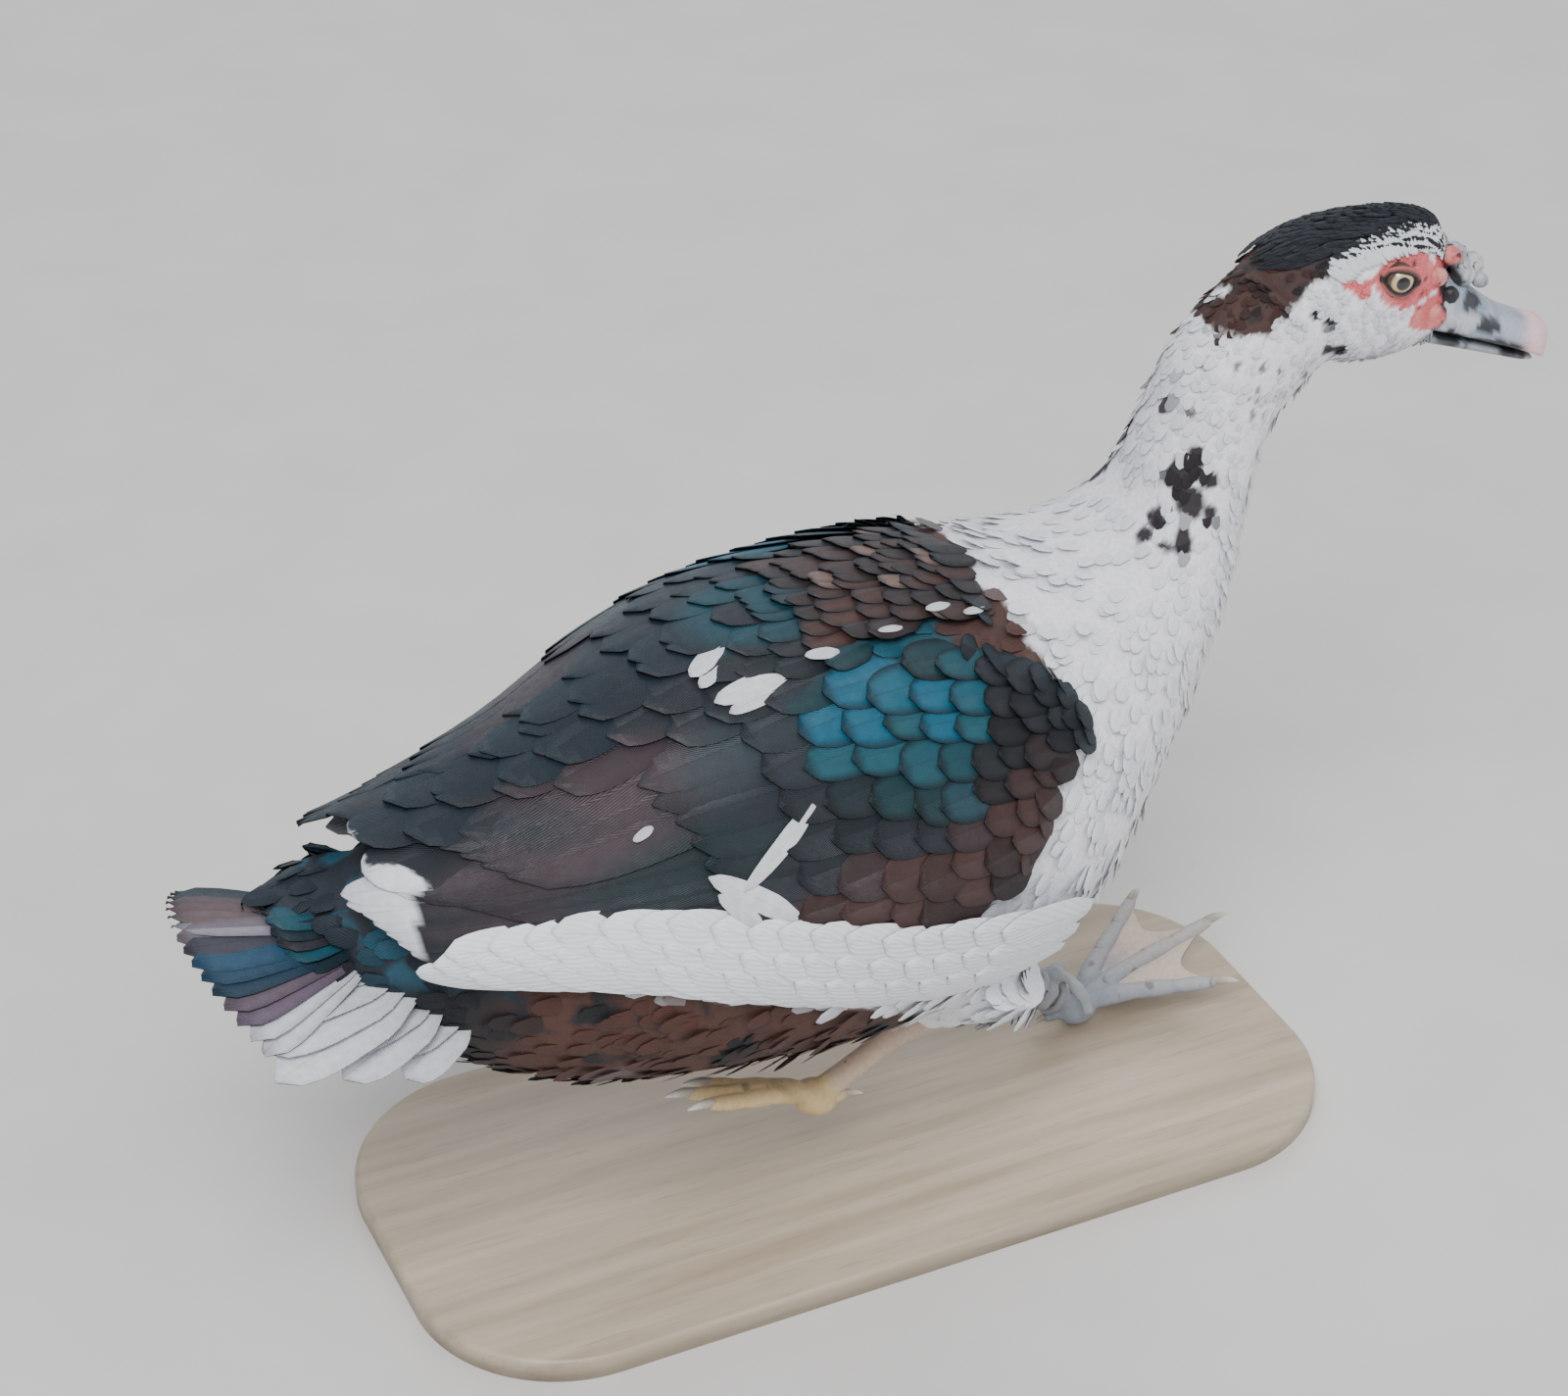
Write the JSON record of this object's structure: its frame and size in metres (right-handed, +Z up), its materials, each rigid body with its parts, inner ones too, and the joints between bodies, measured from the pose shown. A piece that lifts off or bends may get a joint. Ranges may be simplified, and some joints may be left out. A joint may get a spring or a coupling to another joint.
{
  "type": "muscovy duck model",
  "caption": "A life-size still model of a pied black and white muscovy duck in mid stride, one foot down on a plain base, a rag tied round its ankle.",
  "frame": {"origin": "the centre of the base's underside", "axes": "+X the way the bird faces, +Y its left side, +Z up"},
  "size_m": [0.5553, 0.2098, 0.3728],
  "materials": {
    "white_feather": "soft barbs",
    "dark_feather": "soft barbs with a blue-green sheen",
    "bare_skin": "warty",
    "bill_horn": "smooth",
    "eye_gloss": "polished",
    "foot_skin": "scaly",
    "claw_horn": "smooth",
    "tie_rag": "worn cloth",
    "base_board": "satin"
  },
  "bodies": {
    "root": {"bill_lower": "bill_horn", "bill_upper": "bill_horn", "claw_left_hind": "claw_horn", "claw_left_inner": "claw_horn", "claw_left_middle": "claw_horn", "claw_left_outer": "claw_horn", "claw_right_hind": "claw_horn", "claw_right_inner": "claw_horn", "claw_right_middle": "claw_horn", "claw_right_outer": "claw_horn", "eye_left": "eye_gloss", "eye_right": "eye_gloss", "foot_left": "foot_skin", "foot_right": "foot_skin", "head": "white_feather", "leg_tie": "tie_rag", "neck": "white_feather", "shank_left": "foot_skin", "shank_right": "foot_skin", "stand_base": "base_board", "tail": "dark_feather", "thigh_left": "white_feather", "thigh_right": "white_feather", "torso": "white_feather", "wing_left": "dark_feather", "wing_right": "dark_feather"}
  },
  "joints": []
}
